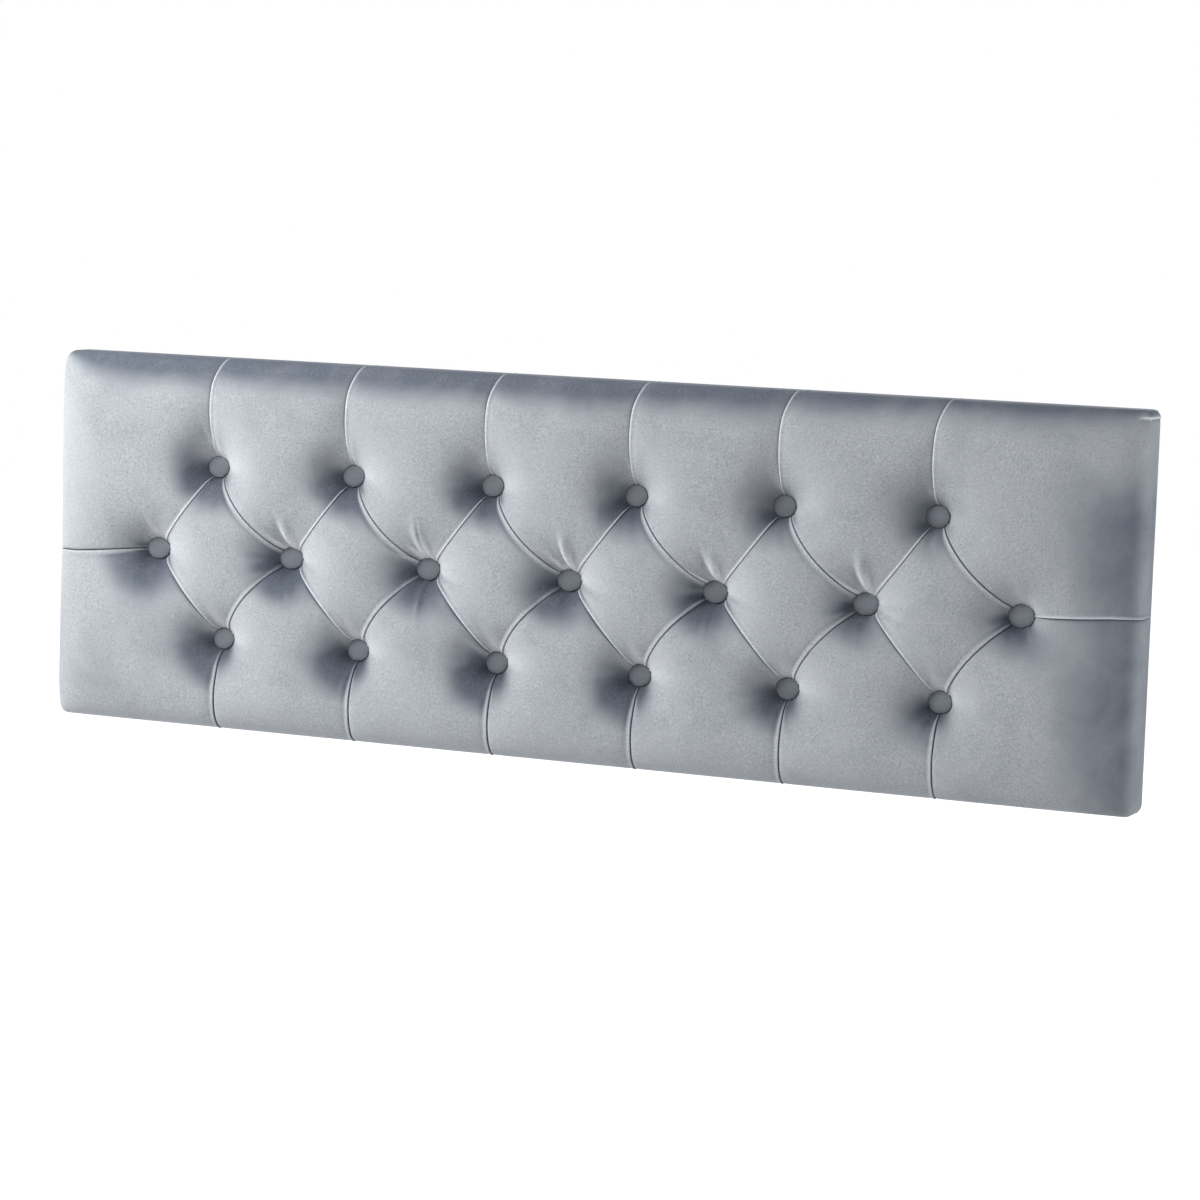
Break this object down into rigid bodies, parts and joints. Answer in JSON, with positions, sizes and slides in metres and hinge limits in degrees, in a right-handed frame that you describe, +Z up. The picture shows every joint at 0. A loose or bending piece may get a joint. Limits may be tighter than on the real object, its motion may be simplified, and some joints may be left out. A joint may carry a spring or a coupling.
{
  "type": "quilted wall panel",
  "caption": "Wall-hung headboard panel, deep-buttoned in diamonds in grey-blue velvet over foam, board and frame, hung on interlocking rails",
  "frame": {"origin": "on the wall plane, at the middle of the wall rail's screw holes", "axes": "+X to the right along the panel's width as seen from the room, +Y into the wall, +Z up; the velvet faces -Y"},
  "size_m": [1.5, 0.0777, 0.49],
  "materials": {
    "velvet": "grey-blue velvet, short dense pile",
    "button_velvet": "the same velvet stretched over a shell",
    "foam": "open-cell upholstery foam with bonded wadding",
    "plywood": "birch plywood, unfinished",
    "pine": "planed pine, unfinished",
    "twine": "waxed linen twine",
    "dust_cloth": "black non-woven dust cloth",
    "staple_wire": "galvanised wire",
    "rail_metal": "mill-finish extruded aluminium",
    "screw_steel": "zinc-plated pan-head screws",
    "felt": "dark grey pressed felt"
  },
  "bodies": {
    "wall": {"wall_rail": "rail_metal"},
    "panel": {"velvet_cover": "velvet", "top_row_buttons": "button_velvet", "middle_row_buttons": "button_velvet", "bottom_row_buttons": "button_velvet", "foam_pad": "foam", "edge_foam_top": "foam", "edge_foam_bottom": "foam", "edge_foam_left": "foam", "edge_foam_right": "foam", "button_board": "plywood", "top_rail": "pine", "bottom_rail": "pine", "left_stile": "pine", "left_mid_stile": "pine", "right_mid_stile": "pine", "right_stile": "pine", "tie_bars": "pine", "button_twines": "twine", "dust_cover": "dust_cloth", "dust_cover_staples": "staple_wire", "velvet_staples": "staple_wire", "panel_rail": "rail_metal", "panel_rail_screws": "screw_steel", "left_bumper": "felt", "right_bumper": "felt"}
  },
  "joints": [
    {"name": "panel_lift", "type": "slide", "parent": "wall", "child": "panel", "axis": [0, 0, 1], "range_m": [0, 0.015]}
  ]
}
